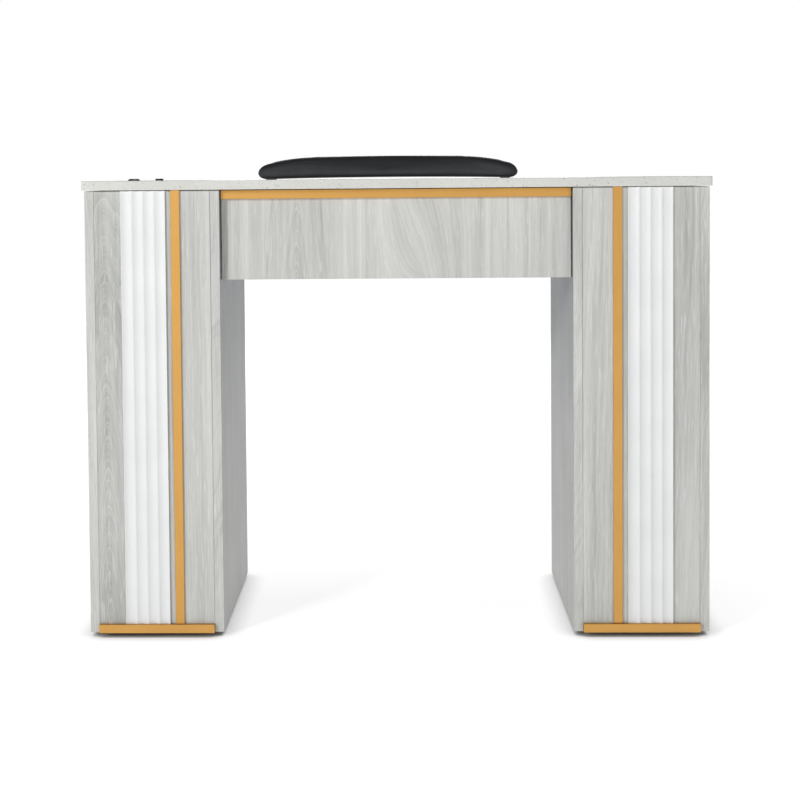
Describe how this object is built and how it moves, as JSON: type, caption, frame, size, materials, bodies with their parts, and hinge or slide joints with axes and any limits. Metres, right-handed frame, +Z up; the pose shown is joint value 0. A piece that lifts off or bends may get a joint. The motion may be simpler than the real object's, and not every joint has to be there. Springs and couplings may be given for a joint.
{
  "type": "manicure table",
  "caption": "Nail table with a stone top on closed pedestals, an apron over the knee space, drawers and a door on the technician's side, and a loose padded armrest.",
  "frame": {"origin": "on the floor, under the middle of the object's box", "axes": "+Z up, +X along the table to the client's right hand as the client faces it, -Y towards the client, +Y towards the technician"},
  "size_m": [1.066, 0.46, 0.8222],
  "materials": {
    "quartz": "honed engineered quartz with sparse fine specks",
    "grey_wood": "matt laminate with a pale grey ash pattern",
    "white_moulding": "satin white foil",
    "gold_metal": "satin gold anodising",
    "clear_rubber": "clear silicone",
    "zinc_steel": "bright zinc plate",
    "slide_steel": "zinc-plated rolled steel",
    "beech": "bare beech",
    "black_plastic": "black nylon",
    "white_plastic": "moulded white",
    "black_vinyl": "fine-grained black vinyl, satin",
    "black_board": "black-stained thin plywood",
    "black_rubber": "matt moulded rubber",
    "drawer_board": "white melamine with white edges"
  },
  "bodies": {
    "table": {"tabletop": "quartz", "slab_bumpers": "clear_rubber", "left_outer_side": "grey_wood", "left_inner_side": "grey_wood", "left_top_panel": "grey_wood", "left_bottom_panel": "grey_wood", "left_front_panel": "grey_wood", "left_fluted_strip": "white_moulding", "left_gold_strip": "gold_metal", "left_gold_base_bar": "gold_metal", "right_outer_side": "grey_wood", "right_inner_side": "grey_wood", "right_top_panel": "grey_wood", "right_bottom_panel": "grey_wood", "right_front_panel": "grey_wood", "right_fluted_strip": "white_moulding", "right_gold_strip": "gold_metal", "right_gold_base_bar": "gold_metal", "apron_panel": "grey_wood", "apron_gold_rail": "gold_metal", "sub_top_panel": "grey_wood", "cam_locks": "zinc_steel", "dowels": "beech", "floor_glides": "black_plastic", "lamp_bushing": "black_plastic", "lamp_bushing_nut": "black_plastic", "cabinet_rails": "slide_steel", "hinge_cabinet_leaves": "zinc_steel", "hinge_pins": "zinc_steel", "magnetic_catch": "white_plastic", "cabinet_shelves": "grey_wood", "shelf_pins": "zinc_steel"},
    "armrest": {"armrest_cushion": "black_vinyl", "armrest_base": "black_board", "armrest_feet": "black_rubber"},
    "cable_plug": {"cable_plug": "black_rubber"},
    "door": {"door_panel": "grey_wood", "door_pull": "gold_metal", "hinge_door_leaves": "zinc_steel", "catch_plate": "zinc_steel"},
    "left_top_drawer": {"left_top_drawer_front": "grey_wood", "left_top_drawer_box": "drawer_board", "left_top_drawer_pull": "gold_metal", "left_top_drawer_rails": "slide_steel"},
    "left_top_slide_middles": {"left_top_mid_rails": "slide_steel"},
    "left_middle_drawer": {"left_middle_drawer_front": "grey_wood", "left_middle_drawer_box": "drawer_board", "left_middle_drawer_pull": "gold_metal", "left_middle_drawer_rails": "slide_steel"},
    "left_middle_slide_middles": {"left_middle_mid_rails": "slide_steel"},
    "left_bottom_drawer": {"left_bottom_drawer_front": "grey_wood", "left_bottom_drawer_box": "drawer_board", "left_bottom_drawer_pull": "gold_metal", "left_bottom_drawer_rails": "slide_steel"},
    "left_bottom_slide_middles": {"left_bottom_mid_rails": "slide_steel"},
    "centre_drawer": {"centre_drawer_front": "grey_wood", "centre_drawer_box": "drawer_board", "centre_drawer_pull": "gold_metal", "centre_drawer_rails": "slide_steel"},
    "centre_slide_middles": {"centre_mid_rails": "slide_steel"}
  },
  "joints": [
    {"name": "left_top_drawer_slide", "type": "slide", "parent": "table", "child": "left_top_drawer", "axis": [0, 1, 0], "range_m": [0, 0.34]},
    {"name": "left_top_middle_slide", "type": "slide", "parent": "table", "child": "left_top_slide_middles", "axis": [0, 1, 0], "range_m": [0, 0.17]},
    {"name": "left_middle_drawer_slide", "type": "slide", "parent": "table", "child": "left_middle_drawer", "axis": [0, 1, 0], "range_m": [0, 0.34]},
    {"name": "left_middle_middle_slide", "type": "slide", "parent": "table", "child": "left_middle_slide_middles", "axis": [0, 1, 0], "range_m": [0, 0.17]},
    {"name": "left_bottom_drawer_slide", "type": "slide", "parent": "table", "child": "left_bottom_drawer", "axis": [0, 1, 0], "range_m": [0, 0.34]},
    {"name": "left_bottom_middle_slide", "type": "slide", "parent": "table", "child": "left_bottom_slide_middles", "axis": [0, 1, 0], "range_m": [0, 0.17]},
    {"name": "centre_drawer_slide", "type": "slide", "parent": "table", "child": "centre_drawer", "axis": [0, 1, 0], "range_m": [0, 0.34]},
    {"name": "centre_middle_slide", "type": "slide", "parent": "table", "child": "centre_slide_middles", "axis": [0, 1, 0], "range_m": [0, 0.17]},
    {"name": "door_hinge", "type": "hinge", "parent": "table", "child": "door", "pos_m": [0.531, 0.185, 0.3865], "axis": [0, 0, -1], "range_deg": [0, 165]},
    {"name": "armrest_lift", "type": "slide", "parent": "table", "child": "armrest", "axis": [0, 0, 1], "range_m": [0, 0.15]},
    {"name": "cable_plug_lift", "type": "slide", "parent": "table", "child": "cable_plug", "axis": [0, 0, 1], "range_m": [0, 0.04]}
  ],
  "couplings": [
    {"joint": "left_top_middle_slide", "follows": "left_top_drawer_slide", "ratio": 0.5},
    {"joint": "left_middle_middle_slide", "follows": "left_middle_drawer_slide", "ratio": 0.5},
    {"joint": "left_bottom_middle_slide", "follows": "left_bottom_drawer_slide", "ratio": 0.5},
    {"joint": "centre_middle_slide", "follows": "centre_drawer_slide", "ratio": 0.5}
  ]
}
